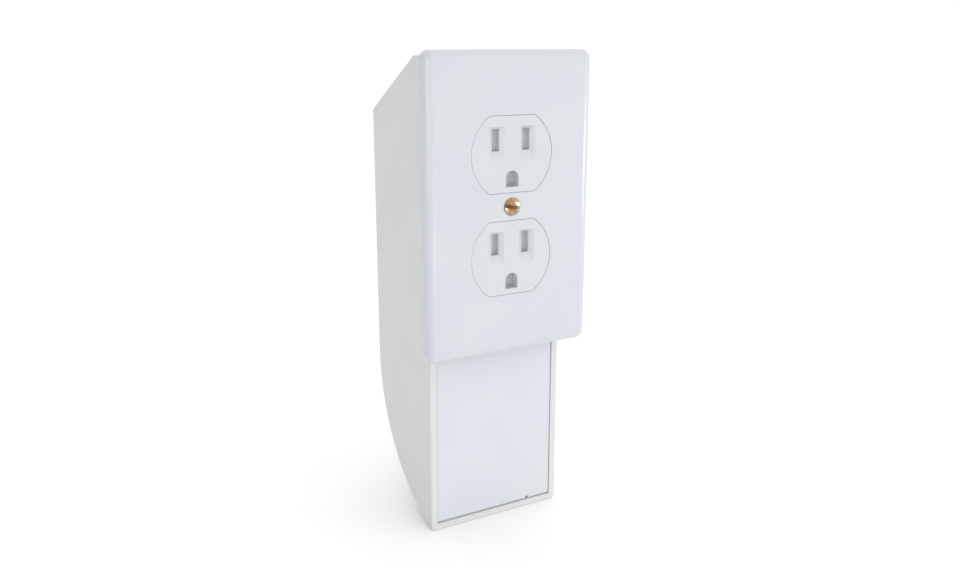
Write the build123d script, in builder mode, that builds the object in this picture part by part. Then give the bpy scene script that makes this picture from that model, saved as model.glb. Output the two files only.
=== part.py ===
from build123d import *
import math
import os

# A tilt-out wall box whose front is a dummy duplex outlet plate.
# Millimetres. The origin lies in the face of the wall, on the axis of the plate's screw.
# X runs to the right, Y into the wall and Z up, so the front of the plate is at minus Y.

# Cover plate, the size of a standard one-gang duplex plate
plate_width = 69.85
plate_height = 114.3
plate_depth = 5.5
plate_wall = 2.0
plate_corner_radius = 3.6
plate_edge_radius = 3.5
hairline = 0.12

# Dummy receptacle faces
face_spacing = 39.0
face_opening_radius = 17.1
face_opening_height = 28.6
edge_break = 0.08
face_set_left = 0.05
slot_spacing = 12.9
slot_width = 3.0
slot_height = 8.1
slot_centre_z = 5.3
slot_mouth_width = 6.4
slot_mouth_height = 12.1
slot_mouth_centre_z = 4.25
slot_ramp_depth = 1.3
slot_depth = 3.6
ground_width = 5.3
ground_height = 6.1
ground_centre_z = -9.0
peg_radius = 1.45
peg_spacing = 18.0
peg_length = 3.0
peg_clearance = 0.05

# Box behind the wall: rear shell and front frame
box_width = 58.4
box_rear = 60.0
shell_wall = 2.8
shell_edge_radius = 1.8
shell_rim_radius = 0.6
setback = 6.35
crest_z = 55.0
rear_top_z = 32.5
mouth_slope = 0.53
arc_centre_y = -3.0
arc_centre_z = -70.5
joint_gap = 0.1

frame_wall = 2.2
sill_clearance = 0.6
panel_recess = 0.4
panel_side_gap = 0.1
panel_bottom_gap = 0.6
panel_edge_radius = 0.25
notch_x = 15.5
notch_width = 1.2
notch_height = 1.0
skirt_wall = 1.6
skirt_rear = 14.0
skirt_top = 49.0
snap_height = 0.7
snap_pocket_depth = 0.9
snap_length = 8.0
snap_width = 2.0
snap_y = 11.5
snap_heights = (-100.0, 5.0)
snap_end_gap = 0.3

# Sill bracket and its hinge, hidden in the hollow of the plate
hinge_y = -1.7
hinge_z = -53.2
barrel_radius = 1.65
bar_depth = 3.3
sill_z = -51.0
sill_thickness = 1.4
sill_rear = 5.8
ear_inset = 3.2
bracket_screw_spacing = 24.0
bracket_screw_y = 3.0
bracket_screw_radius = 1.1
bracket_countersink_radius = 2.0
ear_gap = 1.5
ear_thickness = 3.5
ear_top_z = -43.0
pin_radius = 0.8
pin_press_length = 6.0
pin_running_fit = 0.05
pin_press_fit = 0.02
pin_head_radius = 1.4
pin_head_height = 0.9
tilt_limit = 35.0

# Strap across the frame, its two screws and the brass insert for the plate screw
strap_width = 24.0
strap_height = 94.0
strap_thickness = 1.4
strap_corner_radius = 2.0
device_screw_spacing = 83.3
device_screw_radius = 1.7
device_screw_length = 8.0
device_head_radius = 2.9
device_head_height = 1.3
screw_slot_width = 0.9
boss_wall = 1.2
insert_radius = 2.6
insert_length = 6.0
insert_fit = 0.05
boss_floor = 1.2

# Plate screw: oval head, one slot
screw_radius = 1.65
screw_running_fit = 0.05
screw_end_y = 5.6
screw_end_chamfer = 0.4
head_radius = 3.4
head_cone_angle = 41.0
head_dome = 0.8
head_slot_depth = 1.0
head_slot_turn = -10.0
head_clearance = 0.1
retainer_radius = 3.0
retainer_thickness = 0.4
retainer_gap = 0.3

# Catch spring on top of the neck, and its rivets
spring_width = 14.0
spring_thickness = 0.5
spring_front_y = 1.0
spring_bend_y = 6.0
spring_end_y = 10.4
spring_crest = 1.0
rivet_spacing = 8.0
rivet_y = 3.2
rivet_radius = 0.8
rivet_head_radius = 1.3
rivet_head_height = 0.5
rivet_fit = 0.02

# Felt liner in the bottom of the box
felt_thickness = 1.5
felt_gap = 0.1
felt_side_gap = 2.2
felt_front_y = 15.0

# Places worked out from the sizes above
plate_front = -plate_depth
plate_hollow = plate_front + plate_wall
arc_radius = box_rear - arc_centre_y
inner_arc_radius = arc_radius - shell_wall
inner_half_width = box_width / 2 - shell_wall
crest_y = box_rear - (crest_z - rear_top_z) / mouth_slope
neck_bottom_z = sill_z + sill_thickness + sill_clearance
neck_rear = setback - joint_gap
panel_front = setback + panel_recess
panel_rear = panel_front + frame_wall
panel_half_width = inner_half_width - panel_side_gap
face_radius = face_opening_radius - hairline
face_height = face_opening_height - 2 * hairline
face_back = -strap_thickness
ear_outer = box_width / 2 - ear_inset
ear_inner = ear_outer - ear_thickness
bracket_half_width = ear_inner - ear_gap
felt_half_width = inner_half_width - felt_side_gap

# The foot of the plate is cut back to the plane that lies flat on the wall at the limit of the tilt
relief_slope = math.tan(math.radians(tilt_limit))
relief_top_z = hinge_z + hinge_y * (1 / math.cos(math.radians(tilt_limit)) - 1) / relief_slope
relief_depth = (relief_top_z + plate_height / 2) * relief_slope


def wall_plane(y):
    """The plane at depth y, seen from the front: sketch X is X, sketch Y is Z, extrusions come forward."""
    return Plane.XZ.offset(-y)


def arc_point(radius, angle):
    """A point of the box's round lower back, in the YZ plane; angle 0 is level, 90 is straight down."""
    turn = math.radians(angle)
    return (arc_centre_y + radius * math.cos(turn), arc_centre_z - radius * math.sin(turn))


def arc_angle(radius, y):
    """The angle at which that arc reaches depth y."""
    return math.degrees(math.acos((y - arc_centre_y) / radius))


def arc_bottom_z(radius, y):
    return arc_point(radius, arc_angle(radius, y))[1]


def save(part, name):
    part.label = name
    export_step(part, f"parts/{name}.step")


os.makedirs("parts", exist_ok=True)

# Rear shell: two sides, the back and the round lower back, open in front and at its slanted mouth
outer_end = arc_angle(arc_radius, setback)
inner_end = arc_angle(inner_arc_radius, setback)
with BuildPart() as rear_shell:
    with BuildSketch(Plane.YZ):
        with BuildLine():
            outer_arc = ThreePointArc(
                (box_rear, arc_centre_z),
                arc_point(arc_radius, outer_end / 2),
                arc_point(arc_radius, outer_end),
            )
            Polyline(
                outer_arc @ 1,
                (setback, crest_z),
                (crest_y, crest_z),
                (box_rear, rear_top_z),
                outer_arc @ 0,
            )
        make_face()
    extrude(amount=box_width / 2, both=True)
    round_edges = rear_shell.edges().filter_by(GeomType.CIRCLE)
    rear_edges = rear_shell.edges().filter_by(Axis.Z).group_by(Axis.Y)[-1]
    fillet(round_edges + rear_edges, radius=shell_edge_radius)
    front_edges = rear_shell.edges().filter_by(Axis.Z).group_by(Axis.Y)[0]
    fillet(front_edges, radius=shell_rim_radius)
    with BuildSketch(Plane.YZ):
        with BuildLine():
            inner_arc = ThreePointArc(
                (box_rear - shell_wall, arc_centre_z),
                arc_point(inner_arc_radius, inner_end / 2),
                arc_point(inner_arc_radius, inner_end),
            )
            Polyline(
                inner_arc @ 1,
                (0, arc_bottom_z(inner_arc_radius, setback)),
                (0, crest_z + shell_wall),
                (box_rear - shell_wall, crest_z + shell_wall),
                inner_arc @ 0,
            )
        make_face()
    extrude(amount=inner_half_width, both=True, mode=Mode.SUBTRACT)
    for snap_z in snap_heights:
        with Locations((0, snap_y, snap_z)):
            Box(
                2 * (inner_half_width + snap_pocket_depth),
                snap_width + 2 * snap_end_gap,
                snap_length + 2 * snap_end_gap,
                mode=Mode.SUBTRACT,
            )
    mouth_rim = rear_shell.faces().filter_by(Axis((0, 0, 0), (0, mouth_slope, 1)))
    fillet(mouth_rim.edges().filter_by(Axis((0, 0, 0), (0, 1, -mouth_slope))), radius=shell_rim_radius)
save(rear_shell.part, "rear_shell")

# Front frame: neck through the wall, shelf, set-back lower panel, side skirts and hinge ears
panel_bottom_z = arc_bottom_z(inner_arc_radius, setback) + panel_bottom_gap
neck_height = crest_z - neck_bottom_z
neck_centre_z = (crest_z + neck_bottom_z) / 2
shelf_top_z = neck_bottom_z + frame_wall
with BuildPart() as front_frame:
    with BuildSketch(wall_plane(neck_rear)):
        with Locations((0, neck_centre_z)):
            Rectangle(box_width, neck_height)
    extrude(amount=neck_rear)
    with BuildSketch(wall_plane(neck_rear)):
        with Locations((0, neck_centre_z)):
            Rectangle(box_width - 2 * frame_wall, neck_height - 2 * frame_wall)
    extrude(amount=neck_rear - frame_wall, mode=Mode.SUBTRACT)
    with BuildSketch(Plane.YZ):
        with BuildLine():
            Polyline(
                (frame_wall, neck_bottom_z),
                (panel_front, neck_bottom_z),
                (panel_front, panel_bottom_z),
                (panel_rear, panel_bottom_z),
                (panel_rear, shelf_top_z),
                (frame_wall, shelf_top_z),
                close=True,
            )
        make_face()
    extrude(amount=panel_half_width, both=True)
    panel_faces = front_frame.faces().filter_by_position(Axis.Y, panel_front - 0.01, panel_front + 0.01)
    panel_face = panel_faces.sort_by(SortBy.AREA)[-1]
    panel_sides = panel_face.edges().filter_by(Axis.Z)
    panel_foot = panel_face.edges().group_by(Axis.Z)[0]
    fillet(panel_sides + panel_foot, radius=panel_edge_radius)
    with BuildSketch(wall_plane(panel_rear)):
        with Locations((notch_x, panel_bottom_z + notch_height / 2)):
            Rectangle(notch_width, notch_height)
    extrude(amount=frame_wall, mode=Mode.SUBTRACT)
    for side in (-1, 1):
        with BuildSketch(Plane.YZ.offset(side * (panel_half_width - skirt_wall / 2))):
            with BuildLine():
                Polyline(
                    (frame_wall / 2, skirt_top),
                    (skirt_rear, skirt_top),
                    (skirt_rear, arc_bottom_z(inner_arc_radius - panel_bottom_gap, skirt_rear)),
                    (panel_rear - frame_wall / 2, panel_bottom_z),
                    (panel_rear - frame_wall / 2, shelf_top_z - frame_wall / 2),
                    (frame_wall / 2, shelf_top_z - frame_wall / 2),
                    close=True,
                )
            make_face()
        extrude(amount=skirt_wall / 2, both=True)
        for snap_z in snap_heights:
            with BuildSketch(Plane.XY.offset(snap_z - snap_length / 2)):
                with BuildLine():
                    Polyline(
                        (side * panel_half_width, snap_y - snap_width / 2),
                        (side * (panel_half_width + snap_height), snap_y - snap_width / 2),
                        (side * panel_half_width, snap_y + snap_width / 2),
                        close=True,
                    )
                make_face()
            extrude(amount=snap_length)
        ear_centre_x = side * (ear_inner + ear_outer) / 2
        with BuildSketch(Plane.YZ.offset(ear_centre_x)):
            with Locations((hinge_y, hinge_z)):
                Circle(barrel_radius)
            with Locations((-bar_depth / 2, (hinge_z + ear_top_z) / 2)):
                Rectangle(bar_depth, ear_top_z - hinge_z)
            with Locations((frame_wall / 2, (neck_bottom_z + ear_top_z) / 2)):
                Rectangle(frame_wall, ear_top_z - neck_bottom_z)
            with Locations((hinge_y, hinge_z)):
                Circle(pin_radius + pin_running_fit, mode=Mode.SUBTRACT)
        extrude(amount=ear_thickness / 2, both=True)
    with BuildSketch(wall_plane(insert_length + boss_floor)):
        Circle(insert_radius + boss_wall)
    extrude(amount=insert_length + boss_floor)
    with BuildSketch(wall_plane(insert_length)):
        Circle(insert_radius + insert_fit)
    extrude(amount=insert_length, mode=Mode.SUBTRACT)
    device_bore = device_screw_length - strap_thickness
    with BuildSketch(wall_plane(device_bore + boss_floor)):
        with GridLocations(0, device_screw_spacing, 1, 2):
            Circle(device_screw_radius + boss_wall)
    extrude(amount=device_bore + boss_floor)
    with BuildSketch(wall_plane(device_bore + screw_end_chamfer)):
        with GridLocations(0, device_screw_spacing, 1, 2):
            Circle(device_screw_radius + insert_fit)
    extrude(amount=device_bore + screw_end_chamfer, mode=Mode.SUBTRACT)
    with BuildSketch(wall_plane(frame_wall)):
        with GridLocations(peg_spacing, face_spacing, 2, 2):
            Circle(peg_radius + peg_clearance)
    extrude(amount=frame_wall, mode=Mode.SUBTRACT)
    with BuildSketch(Plane.XY.offset(crest_z - frame_wall)):
        with Locations((0, rivet_y)):
            with GridLocations(rivet_spacing, 0, 2, 1):
                Circle(rivet_radius + rivet_fit)
    extrude(amount=frame_wall, mode=Mode.SUBTRACT)
save(front_frame.part, "front_frame")

# Strap that carries the dummy faces, as the yoke of a real receptacle does
with BuildPart() as strap:
    with BuildSketch(wall_plane(0)):
        RectangleRounded(strap_width, strap_height, strap_corner_radius)
        Circle(screw_radius + retainer_gap, mode=Mode.SUBTRACT)
        with GridLocations(0, device_screw_spacing, 1, 2):
            Circle(device_screw_radius + insert_fit, mode=Mode.SUBTRACT)
        with GridLocations(peg_spacing, face_spacing, 2, 2):
            Circle(peg_radius + peg_clearance, mode=Mode.SUBTRACT)
    extrude(amount=strap_thickness)
save(strap.part, "strap")

# Strap screws: two slotted screws at the standard device spacing
with BuildPart() as strap_screws:
    with BuildSketch(wall_plane(device_bore)):
        with GridLocations(0, device_screw_spacing, 1, 2):
            Circle(device_screw_radius)
    extrude(amount=device_screw_length)
    with BuildSketch(wall_plane(-strap_thickness)):
        with GridLocations(0, device_screw_spacing, 1, 2):
            Circle(device_head_radius)
    extrude(amount=device_head_height)
    with BuildSketch(wall_plane(-strap_thickness - device_head_height / 2)):
        with GridLocations(0, device_screw_spacing, 1, 2):
            Rectangle(2 * device_head_radius, screw_slot_width)
    extrude(amount=device_head_height, mode=Mode.SUBTRACT)
save(strap_screws.part, "strap_screws")

# Brass insert that the plate screw turns in
with BuildPart() as threaded_insert:
    with BuildSketch(wall_plane(insert_length)):
        Circle(insert_radius)
        Circle(screw_radius + screw_running_fit, mode=Mode.SUBTRACT)
    extrude(amount=insert_length)
save(threaded_insert.part, "threaded_insert")


# Dummy faces: rounded blocks with flared blade slots and an arched ground hole, all of them blind
def make_face_block(name, centre_z):
    front = wall_plane(plate_front)
    with BuildPart() as face_block:
        with BuildSketch(wall_plane(face_back)):
            with Locations((-face_set_left, centre_z)):
                Circle(face_radius)
                Rectangle(2 * face_radius, face_height, mode=Mode.INTERSECT)
        extrude(amount=face_back - plate_front)
        chamfer(face_block.faces().sort_by(Axis.Y)[0].edges(), length=edge_break)
        with BuildSketch(wall_plane(face_back)):
            with Locations((0, centre_z)):
                with GridLocations(peg_spacing, 0, 2, 1):
                    Circle(peg_radius)
        extrude(amount=-peg_length)
        for side in (-1, 1):
            slot_x = side * slot_spacing / 2
            with BuildSketch(front):
                with Locations((slot_x, centre_z + slot_mouth_centre_z)):
                    Rectangle(slot_mouth_width, slot_mouth_height)
            with BuildSketch(front.offset(-slot_ramp_depth)):
                with Locations((slot_x, centre_z + slot_centre_z)):
                    Rectangle(slot_width, slot_height)
            loft(mode=Mode.SUBTRACT)
            with BuildSketch(front.offset(-slot_depth)):
                with Locations((slot_x, centre_z + slot_centre_z)):
                    Rectangle(slot_width, slot_height)
            extrude(amount=slot_depth, mode=Mode.SUBTRACT)
        arch_radius = ground_width / 2
        arch_bottom_z = centre_z + ground_centre_z - ground_height / 2
        arch_spring_z = arch_bottom_z + ground_height - arch_radius
        with BuildSketch(front.offset(-slot_depth)):
            with Locations((0, arch_spring_z)):
                Circle(arch_radius)
            with Locations((0, (arch_bottom_z + arch_spring_z) / 2)):
                Rectangle(ground_width, arch_spring_z - arch_bottom_z)
        extrude(amount=slot_depth, mode=Mode.SUBTRACT)
    save(face_block.part, name)


make_face_block("upper_face", face_spacing / 2)
make_face_block("lower_face", -face_spacing / 2)

# Catch spring: a leaf on top of the neck whose bowed end snaps behind the wall
with BuildPart() as catch_spring:
    with BuildSketch(Plane.YZ):
        with BuildLine():
            low = crest_z
            bow_mid = (spring_bend_y + spring_end_y) / 2
            under = ThreePointArc(
                (spring_bend_y, low), (bow_mid, low + spring_crest), (spring_end_y, low)
            )
            over = ThreePointArc(
                (spring_bend_y, low + spring_thickness),
                (bow_mid, low + spring_crest + spring_thickness),
                (spring_end_y, low + spring_thickness),
            )
            Line(under @ 1, over @ 1)
            Polyline(
                over @ 0,
                (spring_front_y, low + spring_thickness),
                (spring_front_y, low),
                under @ 0,
            )
        make_face()
    extrude(amount=spring_width / 2, both=True)
    with BuildSketch(Plane.XY.offset(low)):
        with Locations((0, rivet_y)):
            with GridLocations(rivet_spacing, 0, 2, 1):
                Circle(rivet_radius + rivet_fit)
    extrude(amount=spring_thickness, mode=Mode.SUBTRACT)
save(catch_spring.part, "catch_spring")

with BuildPart() as catch_rivets:
    with BuildSketch(Plane.XY.offset(crest_z - frame_wall)):
        with Locations((0, rivet_y)):
            with GridLocations(rivet_spacing, 0, 2, 1):
                Circle(rivet_radius)
    extrude(amount=frame_wall + spring_thickness)
    with BuildSketch(Plane.XY.offset(crest_z + spring_thickness)):
        with Locations((0, rivet_y)):
            with GridLocations(rivet_spacing, 0, 2, 1):
                Circle(rivet_head_radius)
    extrude(amount=rivet_head_height)
save(catch_rivets.part, "catch_rivets")

# Felt liner laid in the round bottom
felt_outer = inner_arc_radius - felt_gap
felt_inner = felt_outer - felt_thickness
felt_end = arc_angle(felt_inner, felt_front_y)
with BuildPart() as felt_liner:
    with BuildSketch(Plane.YZ):
        with BuildLine():
            under = ThreePointArc(*[arc_point(felt_outer, turn) for turn in (0, felt_end / 2, felt_end)])
            over = ThreePointArc(*[arc_point(felt_inner, turn) for turn in (0, felt_end / 2, felt_end)])
            Line(under @ 0, over @ 0)
            Line(under @ 1, over @ 1)
        make_face()
    extrude(amount=felt_half_width, both=True)
save(felt_liner.part, "felt_liner")

# Sill bracket: a bar in the plate's hollow with the hinge barrel at its foot, and a sill on the wall's edge
with BuildPart() as sill_bracket:
    sill_top = sill_z + sill_thickness
    with BuildSketch(Plane.YZ):
        with Locations((hinge_y, hinge_z)):
            Circle(barrel_radius)
        with Locations((-bar_depth / 2, (hinge_z + sill_top) / 2)):
            Rectangle(bar_depth, sill_top - hinge_z)
        with Locations((sill_rear / 2, sill_top - sill_thickness / 2)):
            Rectangle(sill_rear, sill_thickness)
    extrude(amount=bracket_half_width, both=True)
    with Locations(Plane.XY.offset(sill_top)):
        with Locations((0, bracket_screw_y)):
            with GridLocations(bracket_screw_spacing, 0, 2, 1):
                CounterSinkHole(bracket_screw_radius, bracket_countersink_radius, depth=sill_thickness)
    for side in (-1, 1):
        with BuildSketch(Plane.YZ.offset(side * (bracket_half_width - pin_press_length / 2))):
            with Locations((hinge_y, hinge_z)):
                Circle(pin_radius + pin_press_fit)
        extrude(amount=pin_press_length / 2, both=True, mode=Mode.SUBTRACT)
save(sill_bracket.part, "sill_bracket")

# Hinge pins: pressed into the bar, running in the frame's ears, headed outside them
pin_start = bracket_half_width - pin_press_length
head_start = ear_outer + ear_gap / 5
with BuildPart() as hinge_pins:
    for side in (-1, 1):
        with BuildSketch(Plane.YZ.offset(side * (pin_start + head_start) / 2)):
            with Locations((hinge_y, hinge_z)):
                Circle(pin_radius)
        extrude(amount=(head_start - pin_start) / 2, both=True)
        with BuildSketch(Plane.YZ.offset(side * (head_start + pin_head_height / 2))):
            with Locations((hinge_y, hinge_z)):
                Circle(pin_head_radius)
        extrude(amount=pin_head_height / 2, both=True)
save(hinge_pins.part, "hinge_pins")

# Cover plate: hollow behind, two openings for the faces, relieved at the foot so that it can tilt
head_cone_depth = (head_radius - screw_radius) / math.tan(math.radians(head_cone_angle))
with BuildPart() as wall_plate:
    with BuildSketch(wall_plane(0)):
        RectangleRounded(plate_width, plate_height, plate_corner_radius)
    extrude(amount=plate_depth)
    fillet(wall_plate.faces().sort_by(Axis.Y)[0].edges(), radius=plate_edge_radius)
    with BuildSketch(wall_plane(0)):
        Rectangle(plate_width - 2 * plate_wall, plate_height - 2 * plate_wall)
    extrude(amount=plate_depth - plate_wall, mode=Mode.SUBTRACT)
    with BuildSketch(wall_plane(plate_hollow)):
        with GridLocations(0, face_spacing, 1, 2):
            Circle(face_opening_radius)
        with GridLocations(0, face_spacing, 1, 2):
            Rectangle(2 * face_opening_radius, face_opening_height, mode=Mode.INTERSECT)
    extrude(amount=plate_wall, mode=Mode.SUBTRACT)
    for opening in wall_plate.faces().sort_by(Axis.Y)[0].inner_wires():
        chamfer(opening.edges(), length=edge_break)
    with BuildSketch(Plane.XY):
        with BuildLine():
            Polyline(
                (0, plate_front),
                (head_radius + head_clearance, plate_front),
                (screw_radius + head_clearance, plate_front + head_cone_depth),
                (screw_radius + head_clearance, 0),
                (0, 0),
                close=True,
            )
        make_face()
    revolve(axis=Axis.Y, mode=Mode.SUBTRACT)
    with BuildSketch(Plane.YZ):
        with BuildLine():
            Polyline(
                (0, relief_top_z),
                (-relief_depth, -plate_height / 2),
                (0, -plate_height / 2),
                close=True,
            )
        make_face()
    extrude(amount=plate_width / 2, both=True, mode=Mode.SUBTRACT)
save(wall_plate.part, "wall_plate")

# Plate screw: oval head in the plate's countersink, plain shank in place of the thread
with BuildPart() as plate_screw:
    with BuildSketch(Plane.XY):
        with BuildLine():
            dome = TangentArc((0, plate_front - head_dome), (head_radius, plate_front), tangent=(1, 0))
            Polyline(
                dome @ 1,
                (screw_radius, plate_front + head_cone_depth),
                (screw_radius, screw_end_y - screw_end_chamfer),
                (screw_radius - screw_end_chamfer, screw_end_y),
                (0, screw_end_y),
                dome @ 0,
            )
        make_face()
    revolve(axis=Axis.Y)
    with BuildSketch(wall_plane(plate_front - head_dome + head_slot_depth)):
        Rectangle(3 * head_radius, screw_slot_width, rotation=head_slot_turn)
    extrude(amount=head_slot_depth, mode=Mode.SUBTRACT)
save(plate_screw.part, "plate_screw")

# Fibre washer that keeps the screw on the plate when it is undone
with BuildPart() as screw_retainer:
    with BuildSketch(wall_plane(plate_hollow + retainer_gap + retainer_thickness)):
        Circle(retainer_radius)
        Circle(screw_radius + insert_fit, mode=Mode.SUBTRACT)
    extrude(amount=retainer_thickness)
save(screw_retainer.part, "screw_retainer")
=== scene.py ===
"""Looks for the tilt-out wall box with a dummy duplex outlet plate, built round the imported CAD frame."""
import math

import bmesh
import bpy
from mathutils import Matrix, Vector, noise


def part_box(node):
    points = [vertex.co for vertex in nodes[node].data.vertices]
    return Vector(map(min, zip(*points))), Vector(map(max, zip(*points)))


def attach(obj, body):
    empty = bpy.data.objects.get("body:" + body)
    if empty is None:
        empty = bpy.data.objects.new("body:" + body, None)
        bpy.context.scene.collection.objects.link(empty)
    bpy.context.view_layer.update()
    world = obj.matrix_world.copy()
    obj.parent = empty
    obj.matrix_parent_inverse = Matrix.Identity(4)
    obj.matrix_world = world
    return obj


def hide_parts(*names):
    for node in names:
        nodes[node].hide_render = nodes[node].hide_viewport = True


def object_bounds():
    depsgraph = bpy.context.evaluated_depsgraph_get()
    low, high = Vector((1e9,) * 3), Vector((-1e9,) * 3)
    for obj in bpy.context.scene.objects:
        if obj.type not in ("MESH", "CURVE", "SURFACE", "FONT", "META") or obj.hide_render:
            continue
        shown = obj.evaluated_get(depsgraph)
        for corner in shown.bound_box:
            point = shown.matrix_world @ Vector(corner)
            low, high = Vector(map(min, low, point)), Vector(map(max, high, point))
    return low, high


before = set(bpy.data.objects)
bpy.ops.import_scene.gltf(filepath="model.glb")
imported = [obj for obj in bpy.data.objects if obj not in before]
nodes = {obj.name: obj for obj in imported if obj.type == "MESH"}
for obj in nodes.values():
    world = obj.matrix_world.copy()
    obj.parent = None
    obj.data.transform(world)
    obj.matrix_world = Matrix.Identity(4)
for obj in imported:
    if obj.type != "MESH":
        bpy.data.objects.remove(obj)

cad_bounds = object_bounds()
MM = 0.001


# ---------------------------------------------------------------- materials

NOISE_LOW, NOISE_HIGH = 0.2, 0.8


def smooth_range(tree, source, start, end, low, high):
    """A socket that eases from low to high as the source goes from start to end."""
    spread = tree.nodes.new("ShaderNodeMapRange")
    spread.interpolation_type = "SMOOTHSTEP"
    spread.inputs["From Min"].default_value = start
    spread.inputs["From Max"].default_value = end
    spread.inputs["To Min"].default_value = low
    spread.inputs["To Max"].default_value = high
    tree.links.new(source, spread.inputs["Value"])
    return spread.outputs["Result"]


class Shader:
    """A Principled material and a few short ways to drive its sockets with procedural detail."""

    def __init__(self, name, roughness, metallic=0.0, ior=1.5):
        self.material = bpy.data.materials.new(name)
        self.material.use_nodes = True
        self.tree = self.material.node_tree
        self.bsdf = self.tree.nodes["Principled BSDF"]
        self.bsdf.inputs["Roughness"].default_value = roughness
        self.bsdf.inputs["Metallic"].default_value = metallic
        self.bsdf.inputs["IOR"].default_value = ior
        self.position = self.node("ShaderNodeTexCoord").outputs["Object"]
        self.height = None

    def node(self, kind, **values):
        """A new node, with each value set on the input of that name, or else on the node itself."""
        made = self.tree.nodes.new(kind)
        for key, value in values.items():
            if key in made.inputs:
                made.inputs[key].default_value = value
            else:
                setattr(made, key, value)
        return made

    def link(self, output, target):
        self.tree.links.new(output, target)

    def noise(self, size_mm, detail=3.0, stretch=(1, 1, 1)):
        """Noise whose blobs are about size_mm across, stretched by the three factors."""
        scale = self.node("ShaderNodeMapping")
        scale.inputs["Scale"].default_value = [1 / (size_mm * MM * s) for s in stretch]
        texture = self.node("ShaderNodeTexNoise", Scale=1.0, Detail=detail)
        self.link(self.position, scale.inputs["Vector"])
        self.link(scale.outputs["Vector"], texture.inputs["Vector"])
        return texture.outputs["Fac"]

    def shaded_in_grooves(self, factor, reach_mm):
        """The factor, darkened by painted shade (ambient occlusion) in grooves narrower than the reach."""
        shade = self.node("ShaderNodeAmbientOcclusion", only_local=True, Distance=reach_mm * MM)
        product = self.node("ShaderNodeMath", operation="MULTIPLY")
        self.link(factor, product.inputs[0])
        self.link(shade.outputs["AO"], product.inputs[1])
        return product.outputs["Value"]

    def tint(self, factor, low, high):
        """Colour that runs from low to high with the factor."""
        ramp = self.node("ShaderNodeValToRGB")
        ramp.color_ramp.interpolation = "EASE"
        for stop, position, colour in zip(ramp.color_ramp.elements, (NOISE_LOW, NOISE_HIGH), (low, high)):
            stop.position = position
            stop.color = (*colour, 1)
        self.link(factor, ramp.inputs["Fac"])
        self.link(ramp.outputs["Color"], self.bsdf.inputs["Base Color"])

    def vary(self, socket, factor, low, high):
        """Drives a socket of the shader from low to high with the factor."""
        self.link(smooth_range(self.tree, factor, NOISE_LOW, NOISE_HIGH, low, high), self.bsdf.inputs[socket])

    def bump(self, factor, strength, depth_mm):
        """Adds one layer of relief over the layers before it."""
        relief = self.node("ShaderNodeBump", Strength=strength, Distance=depth_mm * MM)
        self.link(factor, relief.inputs["Height"])
        if self.height is not None:
            self.link(self.height, relief.inputs["Normal"])
        self.height = relief.outputs["Normal"]
        self.link(self.height, self.bsdf.inputs["Normal"])


def moulded_plastic(name, low, high, roughness, wave_mm=26.0):
    """Injection-moulded white plastic: faint flow mottling, slow surface waves and a fine skin."""
    shader = Shader(name, roughness[0], ior=1.49)
    shader.tint(shader.noise(wave_mm, detail=1.0), low, high)
    shader.vary("Roughness", shader.noise(14.0, detail=1.0), *roughness)
    shader.bump(shader.noise(wave_mm, detail=0.0), strength=0.12, depth_mm=0.05)
    shader.bump(shader.noise(1.1, detail=1.0), strength=0.01, depth_mm=0.01)
    shader.bsdf.inputs["Coat Weight"].default_value = 0.15
    shader.bsdf.inputs["Coat Roughness"].default_value = 0.2
    return shader.material


def worn_metal(name, low, high, roughness, stretch=(1, 1, 1), groove_shade_mm=0.0):
    """Metal with fine drawn lines and cloudy tarnish, and painted shade that darkens its grooves when a
    groove reach is given.
    """
    shader = Shader(name, roughness[0], metallic=1.0)
    cloud = shader.noise(2.4, detail=2.0)
    # painted shade: ambient occlusion takes the tint darker in the slot and other grooves
    if groove_shade_mm:
        cloud = shader.shaded_in_grooves(cloud, groove_shade_mm)
    shader.tint(cloud, low, high)
    shader.vary("Roughness", shader.noise(1.2, stretch=stretch), *roughness)
    shader.bump(shader.noise(0.25, detail=2.0, stretch=stretch), strength=0.04, depth_mm=0.01)
    return shader.material


def felt_cloth(name, low, high):
    """Pressed felt: matted fibres, a soft nap and a sheen along its edges."""
    shader = Shader(name, 0.95)
    shader.tint(shader.noise(0.9, detail=8.0, stretch=(2.5, 1, 1)), low, high)
    shader.bump(shader.noise(2.5, detail=4.0), strength=0.5, depth_mm=0.3)
    shader.bump(shader.noise(0.35, detail=6.0, stretch=(3, 1, 1)), strength=0.8, depth_mm=0.15)
    shader.bsdf.inputs["Sheen Weight"].default_value = 0.5
    shader.bsdf.inputs["Sheen Roughness"].default_value = 0.6
    return shader.material


def pressed_fibre(name, low, high):
    """Vulcanised fibre board with a faint paper grain."""
    shader = Shader(name, 0.7)
    shader.tint(shader.noise(0.5, detail=6.0, stretch=(3, 1, 1)), low, high)
    shader.bump(shader.noise(0.2, detail=4.0), strength=0.4, depth_mm=0.05)
    return shader.material


plate_white = moulded_plastic("plate_white", (0.535, 0.553, 0.592), (0.55, 0.567, 0.60), (0.18, 0.25))
face_white = moulded_plastic("face_white", (0.54, 0.558, 0.592), (0.555, 0.572, 0.60), (0.18, 0.25), 12.0)
frame_white = moulded_plastic("frame_white", (0.575, 0.595, 0.635), (0.595, 0.61, 0.645), (0.30, 0.40))
shell_white = moulded_plastic("shell_white", (0.60, 0.60, 0.60), (0.62, 0.62, 0.62), (0.34, 0.46))
bracket_white = moulded_plastic("bracket_white", (0.66, 0.67, 0.69), (0.72, 0.73, 0.75), (0.40, 0.52))
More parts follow.
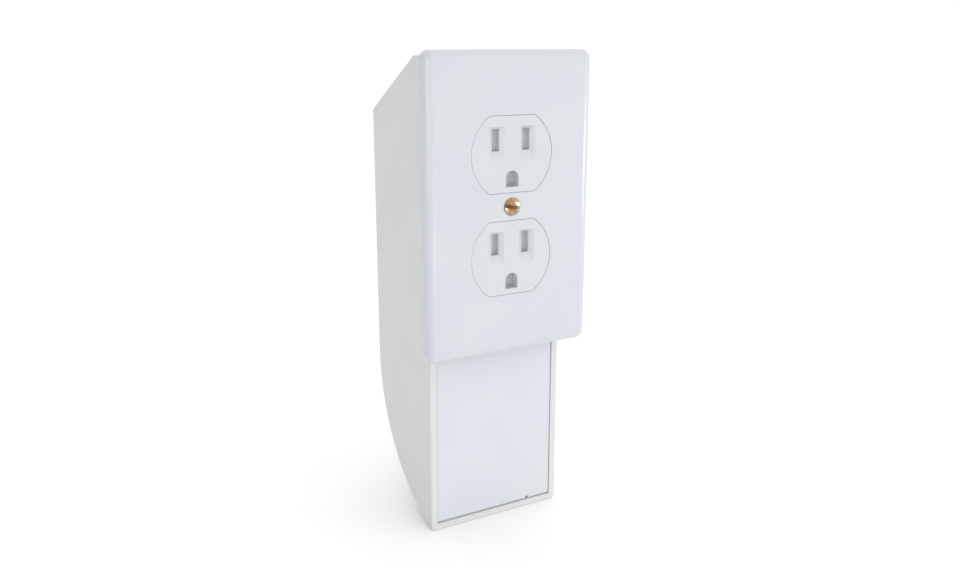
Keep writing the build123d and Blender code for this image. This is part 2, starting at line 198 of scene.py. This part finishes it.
# painted shade darkens the brass screw's slot and grooves within 1.6 mm
brass = worn_metal("brass", (0.16, 0.08, 0.04), (0.62, 0.43, 0.27), (0.10, 0.16), groove_shade_mm=1.6)
insert_brass = worn_metal("insert_brass", (0.62, 0.42, 0.16), (0.85, 0.64, 0.30), (0.28, 0.45))
zinc = worn_metal("zinc", (0.50, 0.51, 0.54), (0.72, 0.72, 0.73), (0.28, 0.48), (1, 1, 8))
spring_steel = worn_metal("spring_steel", (0.42, 0.43, 0.46), (0.62, 0.62, 0.63), (0.29, 0.38), (8, 1, 1))
felt = felt_cloth("felt", (0.035, 0.038, 0.045), (0.085, 0.09, 0.10))
fibre = pressed_fibre("fibre", (0.30, 0.07, 0.035), (0.46, 0.13, 0.07))

for node, material in {
    "wall_plate": plate_white,
    "upper_face": face_white,
    "lower_face": face_white,
    "front_frame": frame_white,
    "rear_shell": shell_white,
    "sill_bracket": bracket_white,
    "strap": zinc,
    "strap_screws": zinc,
    "threaded_insert": insert_brass,
    "catch_spring": spring_steel,
    "catch_rivets": zinc,
    "hinge_pins": zinc,
    "felt_liner": felt,
    "plate_screw": brass,
    "screw_retainer": fibre,
}.items():
    for slot in nodes[node].material_slots:
        slot.material = material


# ---------------------------------------------------------------- pieces made here

SEGMENTS = 64
AXIS_RADIUS = 0.01
THREAD_PITCH = 0.794
THREAD_DEPTH = 0.32
SCREW_SLOT_WIDTH = 1.2
SLOT_TURN = 10.0
SPRING_THICKNESS = 0.5
SMOOTH_ANGLE = math.radians(38)
EASED_ANGLE = math.radians(35)


def box_mm(node):
    """The lowest and highest corner of a CAD node, in millimetres."""
    low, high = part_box(node)
    return low / MM, high / MM


def loft(name, rings, looped=False):
    """A mesh through rings of points in millimetres, capped at both ends unless the rings are looped."""
    size = len(rings[0])
    points = [tuple(c * MM for c in point) for ring in rings for point in ring]
    faces = []
    for i in range(len(rings) if looped else len(rings) - 1):
        near, far = i * size, (i + 1) % len(rings) * size
        for j in range(size):
            k = (j + 1) % size
            faces.append((near + j, near + k, far + k, far + j))
    if not looped:
        faces += [tuple(range(size)), tuple(range(len(points) - size, len(points)))]
    mesh = bpy.data.meshes.new(name)
    mesh.from_pydata(points, [], faces)
    form = bmesh.new()
    form.from_mesh(mesh)
    bmesh.ops.recalc_face_normals(form, faces=form.faces)
    form.to_mesh(mesh)
    form.free()
    return mesh


def turned(name, profile, place=Matrix(), looped=False, relief=None):
    """A turned shape: profile gives (radius, distance along Y), and relief an extra radius."""
    rings = []
    for radius, along in profile:
        ring = []
        for i in range(SEGMENTS):
            angle = 2 * math.pi * i / SEGMENTS
            reach = radius + (relief(angle, radius, along) if relief else 0)
            ring.append(place @ Vector((reach * math.cos(angle), along, reach * math.sin(angle))))
        rings.append(ring)
    return loft(name, rings, looped)


def thread(angle, along):
    """Depth of a vee thread under its crest at that angle and distance."""
    phase = (along / THREAD_PITCH + angle / (2 * math.pi)) % 1
    return -THREAD_DEPTH * (1 - abs(2 * phase - 1))


def threaded_rod(name, crest_radius, start, end, place=Matrix()):
    """A threaded shank along Y from start to end, with a tapered last turn."""
    step = THREAD_PITCH / 10
    taper_length, tip_radius = crest_radius / 4, crest_radius * 0.62
    count = int((end - start - taper_length) / step)
    profile = [(crest_radius, start + i * step) for i in range(count)]
    profile.append((tip_radius, end))
    core = crest_radius - THREAD_DEPTH

    def relief(angle, radius, along):
        return thread(angle, along) if radius > core else 0

    return turned(name, profile, place, relief=relief)


def arc_profile(start, end, bulge, count):
    """Points of a turned dome, from start to end along a quarter of an ellipse; a low bulge squares it."""
    points = []
    for i in range(count + 1):
        turn = math.pi / 2 * i / count
        radius = start[0] + (end[0] - start[0]) * math.sin(turn) ** bulge
        along = end[1] + (start[1] - end[1]) * math.cos(turn)
        points.append((max(radius, AXIS_RADIUS), along))
    return points


def cut_and_eased(mesh, slot_size, slot_place, ease):
    """A copy of the mesh with a straight slot cut and sharp edges eased, with sizes in millimetres."""
    cutter_mesh = bpy.data.meshes.new("slot_cutter")
    form = bmesh.new()
    bmesh.ops.create_cube(form, size=MM)
    bmesh.ops.scale(form, vec=slot_size, verts=form.verts)
    form.to_mesh(cutter_mesh)
    form.free()
    cutter = bpy.data.objects.new("slot_cutter", cutter_mesh)
    blank = bpy.data.objects.new("blank", mesh)
    for item in (cutter, blank):
        bpy.context.scene.collection.objects.link(item)
    cutter.matrix_world = Matrix.Translation(slot_place.translation * MM) @ slot_place.to_3x3().to_4x4()
    cut = blank.modifiers.new("slot", "BOOLEAN")
    cut.object = cutter
    cut.solver = "EXACT"
    bevel = blank.modifiers.new("ease", "BEVEL")
    bevel.width = ease * MM
    bevel.segments = 3
    bevel.limit_method = "ANGLE"
    bevel.angle_limit = EASED_ANGLE
    bpy.context.view_layer.update()
    graph = bpy.context.evaluated_depsgraph_get()
    done = bpy.data.meshes.new_from_object(blank.evaluated_get(graph))
    for item in (cutter, blank):
        bpy.data.objects.remove(item)
    return done


def joined(name, *meshes):
    """One mesh out of several."""
    form = bmesh.new()
    for mesh in meshes:
        form.from_mesh(mesh)
    whole = bpy.data.meshes.new(name)
    form.to_mesh(whole)
    form.free()
    return whole


def add_piece(name, mesh, material, body, slot, *stands_for):
    """Adds a mesh as a smooth-shaded piece that rides on a body and stands for CAD nodes."""
    mesh.materials.clear()
    mesh.materials.append(material)
    mesh.shade_smooth()
    mesh.set_sharp_from_angle(angle=SMOOTH_ANGLE)
    piece = bpy.data.objects.new(name, mesh)
    bpy.context.scene.collection.objects.link(piece)
    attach(piece, body)
    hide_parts(*stands_for)


def make_plate_screw():
    """Oval-head brass screw: domed head, eased slot, countersunk under-head and a vee thread."""
    low, high = box_mm("plate_screw")
    plate_front = box_mm("wall_plate")[0].y
    head_radius, shank_radius = high.x, 1.65
    rim, slot_depth, slot_ease = 0.12, 1.0, 0.06
    cone_end = plate_front + 2.0
    shank_start, head_end = cone_end + 0.2, cone_end + 0.3
    profile = arc_profile((0, low.y), (head_radius, plate_front - rim), bulge=1.0, count=12)
    profile += [(head_radius, plate_front), (shank_radius, cone_end), (shank_radius, head_end)]
    slot_place = Matrix.Translation((0, low.y, 0)) @ Matrix.Rotation(math.radians(SLOT_TURN), 4, "Y")
    slot_size = (3 * head_radius, 2 * slot_depth, SCREW_SLOT_WIDTH)
    head = cut_and_eased(turned("head", profile), slot_size, slot_place, slot_ease)
    shank = threaded_rod("shank", shank_radius, shank_start, high.y)
    mesh = joined("brass_plate_screw", head, shank)
    add_piece("brass_plate_screw", mesh, brass, "screw", "brass_screw", "plate_screw")


def make_strap_screws():
    """Two pan-head screws that hold the strap."""
    low, high = box_mm("strap_screws")
    strap_front = box_mm("strap")[0].y
    head_radius, shank_radius = high.x, 1.7
    rim, slot_depth, slot_ease = 0.35, 0.7, 0.07
    shank_start, head_end = strap_front + 0.2, strap_front + 0.3
    slot_size = (3 * head_radius, 2 * slot_depth, SCREW_SLOT_WIDTH)
    profile = arc_profile((0, low.y), (head_radius, strap_front - rim), bulge=0.7, count=12)
    profile += [(head_radius, strap_front), (shank_radius, strap_front), (shank_radius, head_end)]
    meshes = []
    for z in (low.z + head_radius, high.z - head_radius):
        place = Matrix.Translation((0, 0, z))
        slot_place = Matrix.Translation((0, low.y, z))
        meshes.append(cut_and_eased(turned("head", profile, place), slot_size, slot_place, slot_ease))
        meshes.append(threaded_rod("shank", shank_radius, shank_start, high.y, place))
    add_piece("pan_head_screws", joined("pan_head_screws", *meshes), zinc, "bin", "steel", "strap_screws")


def make_threaded_insert():
    """Knurled brass insert with a groove round its middle and a threaded bore."""
    low, high = box_mm("threaded_insert")
    outer, bore, ease = high.x, 2.0, 0.25
    knurls, knurl_depth = 24, 0.14
    groove_depth, groove_half_width, groove_half_floor = 0.5, 0.5, 0.4
    thread_inset, thread_share = 0.2, 0.8
    middle = (low.y + high.y) / 2
    groove_floor = outer - groove_depth
    profile = [(outer - ease, low.y), (outer, low.y + ease)]
    profile += [(outer, middle - groove_half_width), (groove_floor, middle - groove_half_floor)]
    profile += [(groove_floor, middle + groove_half_floor), (outer, middle + groove_half_width)]
    profile += [(outer, high.y - ease), (outer - ease, high.y), (bore, high.y)]
    step = THREAD_PITCH / 8
    count = int((high.y - low.y - 2 * thread_inset) / step)
    profile += [(bore, high.y - thread_inset - i * step) for i in range(count)]
    profile.append((bore, low.y))

    def relief(angle, radius, along):
        if radius == outer:
            return -knurl_depth * abs(math.sin(knurls * angle / 2))
        if radius == bore and low.y < along < high.y:
            return thread(angle, along) * thread_share
        return 0

    mesh = turned("knurled_insert", profile, looped=True, relief=relief)
    add_piece("knurled_insert", mesh, insert_brass, "bin", "brass_insert", "threaded_insert")


def make_screw_retainer():
    """Fibre washer with a soft punched edge, slightly dished by the screw."""
    low, high = box_mm("screw_retainer")
    outer, hole, ease = high.x, 1.72, 0.1
    dish, raggedness = 0.04, 0.03
    middle = (outer + hole) / 2
    profile = [
        (outer - ease, low.y), (outer, low.y + ease), (outer, high.y - ease), (outer - ease, high.y),
        (middle, high.y - dish), (hole + ease, high.y), (hole, high.y - ease),
        (hole, low.y + ease), (hole + ease, low.y), (middle, low.y - dish),
    ]

    def relief(angle, radius, along):
        ripple = math.sin(7 * angle) * math.sin(3 * angle + along)
        return raggedness * ripple if radius > hole + ease else 0

    mesh = turned("fibre_washer", profile, looped=True, relief=relief)
    add_piece("fibre_washer", mesh, fibre, "screw", "fibre", "screw_retainer")


def make_catch_rivets():
    """Two semi-tubular rivets through the catch spring, domed on top and hollow below."""
    low, high = box_mm("catch_rivets")
    head_radius, head_rim, shank_radius = 1.3, 0.1, 0.8
    hollow, hollow_depth, ease, foot_ease = 0.45, 1.2, 0.1, 0.15
    head_base = box_mm("catch_spring")[0].z + SPRING_THICKNESS
    profile = arc_profile((0, high.z), (head_radius, head_base + head_rim), bulge=1.0, count=8)
    profile += [(head_radius, head_base), (shank_radius, head_base), (shank_radius, low.z + foot_ease)]
    profile += [(shank_radius - ease, low.z), (hollow, low.z)]
    profile += [(hollow - ease, low.z + hollow_depth), (AXIS_RADIUS, low.z + hollow_depth + ease)]
    upright = Matrix.Rotation(math.radians(90), 4, "X")
    meshes = []
    for x in (low.x + head_radius, high.x - head_radius):
        place = Matrix.Translation((x, (low.y + high.y) / 2, 0)) @ upright
        meshes.append(turned("rivet", profile, place))
    add_piece("tubular_rivets", joined("tubular_rivets", *meshes), zinc, "bin", "steel", "catch_rivets")


def make_hinge_pins():
    """Two headed pins with a grooved end that bites into the bracket."""
    low, high = box_mm("hinge_pins")
    centre_y, centre_z = (low.y + high.y) / 2, (low.z + high.z) / 2
    head_radius, head_height, head_rim, shank_radius = (high.y - low.y) / 2, 0.9, 0.2, 0.8
    grooves, grooved_length, groove_depth, tip_ease = 12, 5.0, 0.05, 0.3
    inner_end = 15.0
    head_base = -high.x + head_height
    grip_start = -inner_end - grooved_length
    profile = arc_profile((0, -high.x), (head_radius, head_base - head_rim), bulge=0.8, count=8)
    profile += [(head_radius, head_base), (shank_radius, head_base)]
    profile += [(shank_radius, grip_start), (shank_radius, -inner_end - tip_ease)]
    profile += [(shank_radius - tip_ease, -inner_end)]

    def relief(angle, radius, along):
        in_grip = radius == shank_radius and along > grip_start - groove_depth
        return -groove_depth * abs(math.sin(grooves * angle / 2)) if in_grip else 0

    meshes = []
    for side in (-1, 1):
        spin = Matrix.Rotation(math.radians(90 * side), 4, "Z")
        place = Matrix.Translation((0, centre_y, centre_z)) @ spin
        meshes.append(turned("pin", profile, place, relief=relief))
    add_piece("headed_pins", joined("headed_pins", *meshes), zinc, "wall_bracket", "steel", "hinge_pins")


def make_catch_spring():
    """Leaf of spring steel, bowed over its free half, with eased edges and rounded corners."""
    low, high = box_mm("catch_spring")
    bend, corner, ease = 6.0, 1.6, 0.12
    rise = high.z - low.z - SPRING_THICKNESS
    steps = 48
    rings = []
    for i in range(steps + 1):
        y = low.y + (high.y - low.y) * (0.5 - 0.5 * math.cos(math.pi * i / steps))
        from_end = min(y - low.y, high.y - y)
        width = high.x
        if from_end < corner:
            width -= corner - math.sqrt(max(corner ** 2 - (corner - from_end) ** 2, 0))
        bottom = low.z
        if y > bend:
            bottom += rise * math.sin(math.pi * (y - bend) / (high.y - bend)) ** 0.8
        top = bottom + SPRING_THICKNESS
        outline = [
            (-width + ease, bottom), (width - ease, bottom), (width, bottom + ease), (width, top - ease),
            (width - ease, top), (-width + ease, top), (-width, top - ease), (-width, bottom + ease),
        ]
        rings.append([(x, y, z) for x, z in outline])
    add_piece("leaf_spring", loft("leaf_spring", rings), spring_steel, "bin", "spring", "catch_spring")


def make_felt_liner():
    """Felt pressed into the round bottom: soft rounded rim, uneven nap and slightly wavy edges."""
    low, high = box_mm("felt_liner")
    centre_y, centre_z, thickness = -3.0, high.z, 1.5
    end_share, side_share, end_rounding, side_rounding = 0.02, 0.25, 1.2, 1.0
    back_gap, side_inset, waviness, nap_height, nap_scale = 0.02, 0.3, 0.25, 0.16, 0.35
    outer = high.y - centre_y
    end_turn = math.acos((low.y - centre_y) / (outer - thickness))
    half_width = high.x
    across, along = 40, 72
    rings = []
    for i in range(along + 1):
        turn = end_turn * i / along
        end_gap = min(i, along - i) / along * end_turn * outer
        end_fullness = min(1.0, math.sqrt(1 - (1 - min(end_gap / end_rounding, 1.0)) ** 2) + end_share)
        ring = []
        for j in range(2 * across):
            top = j < across
            part = (j if top else 2 * across - 1 - j) / (across - 1) * 2 - 1
            side_gap = (1 - abs(part)) * half_width
            side_fullness = math.sqrt(1 - (1 - min(side_gap / side_rounding, 1.0)) ** 2)
            wave = waviness * noise.noise(Vector((turn * 9, 3.0 * part, 5)))
            x = part * (half_width - side_inset + wave)
            radius = outer - back_gap
            if top:
                fullness = end_fullness * (side_share + (1 - side_share) * side_fullness)
                nap = noise.noise(Vector((x * nap_scale, turn * outer * nap_scale, 1)))
                radius += nap_height * nap - thickness * fullness
            ring.append((x, centre_y + radius * math.cos(turn), centre_z - radius * math.sin(turn)))
        rings.append(ring)
    add_piece("felt_lining", loft("felt_lining", rings), felt, "bin", "felt", "felt_liner")


make_plate_screw()
make_strap_screws()
make_threaded_insert()
make_screw_retainer()
make_catch_rivets()
make_hinge_pins()
make_catch_spring()
make_felt_liner()


# ---------------------------------------------------------------- stage, light and camera


def add_area(name, place, aim, size, power, colour):
    """A rectangular soft light at a place, turned to where it aims, with sizes in metres."""
    light = bpy.data.lights.new(name, "AREA")
    light.shape = "RECTANGLE"
    light.size, light.size_y = size
    light.energy = power
    light.color = colour
    lamp = bpy.data.objects.new(name, light)
    bpy.context.scene.collection.objects.link(lamp)
    lamp.location = place
    lamp.rotation_euler = (Vector(aim) - Vector(place)).to_track_quat("-Z", "Y").to_euler()


def make_floor():
    """A pale floor under the lowest point of the box."""
    half_size = 6.0
    lowest = cad_bounds[0][2]
    mesh = bpy.data.meshes.new("floor")
    corners = [(x * half_size, y * half_size, lowest) for x, y in ((-1, -1), (1, -1), (1, 1), (-1, 1))]
    mesh.from_pydata(corners, [], [(0, 1, 2, 3)])
    floor = bpy.data.objects.new("floor", mesh)
    bpy.context.scene.collection.objects.link(floor)
    shader = Shader("floor_white", 0.6)
    shader.tint(shader.noise(400.0, detail=0.0), (0.955, 0.955, 0.955), (0.97, 0.97, 0.97))
    mesh.materials.append(shader.material)


def make_studio_world(dim, bright, overhead):
    """A plain white surround: dim on the left (minus X), bright on the right, with extra light overhead."""
    world = bpy.data.worlds.new("studio")
    world.use_nodes = True
    tree = world.node_tree
    place = tree.nodes.new("ShaderNodeTexCoord")
    split = tree.nodes.new("ShaderNodeSeparateXYZ")
    tree.links.new(place.outputs["Generated"], split.inputs["Vector"])
    total = tree.nodes.new("ShaderNodeMath")
    sideways = smooth_range(tree, split.outputs["X"], -0.85, -0.1, dim, bright)
    upward = smooth_range(tree, split.outputs["Z"], 0.35, 0.9, 0.0, overhead)
    tree.links.new(sideways, total.inputs[0])
    tree.links.new(upward, total.inputs[1])
    tree.links.new(total.outputs["Value"], tree.nodes["Background"].inputs["Strength"])
    tree.nodes["Background"].inputs["Color"].default_value = (1, 1, 1, 1)
    return world


make_floor()
scene = bpy.context.scene
scene.view_settings.view_transform = "Standard"
scene.world = make_studio_world(dim=0.36, bright=1.08, overhead=0.25)

add_area("low_front", (0.50, -0.36, -0.05), (0, 0, -0.02), (0.24, 0.12), 0.62, (0.97, 0.985, 1.0))
add_area("screw_glint", (-0.01, -0.36, -0.10), (0, 0, 0), (0.12, 0.05), 0.07, (1, 0.99, 0.97))
add_area("edge_strip", (-0.80, -0.62, 0.1), (0, 0, -0.03), (0.22, 0.8), 2.6, (1, 1, 1))

camera_place = Vector((-161.5, -282.6, 59.3)) * MM
camera_turn = math.radians(28.1)
camera_tilt = math.radians(-13.3)
view_direction = Vector((
    math.sin(camera_turn) * math.cos(camera_tilt),
    math.cos(camera_turn) * math.cos(camera_tilt),
    math.sin(camera_tilt),
))
lens = bpy.data.cameras.new("camera")
lens.lens = 32.8
lens.sensor_width = 36.0
lens.shift_y = -0.043
lens.clip_start = 0.01
camera = bpy.data.objects.new("camera", lens)
scene.collection.objects.link(camera)
camera.location = camera_place
camera.rotation_euler = view_direction.to_track_quat("-Z", "Y").to_euler()
scene.camera = camera
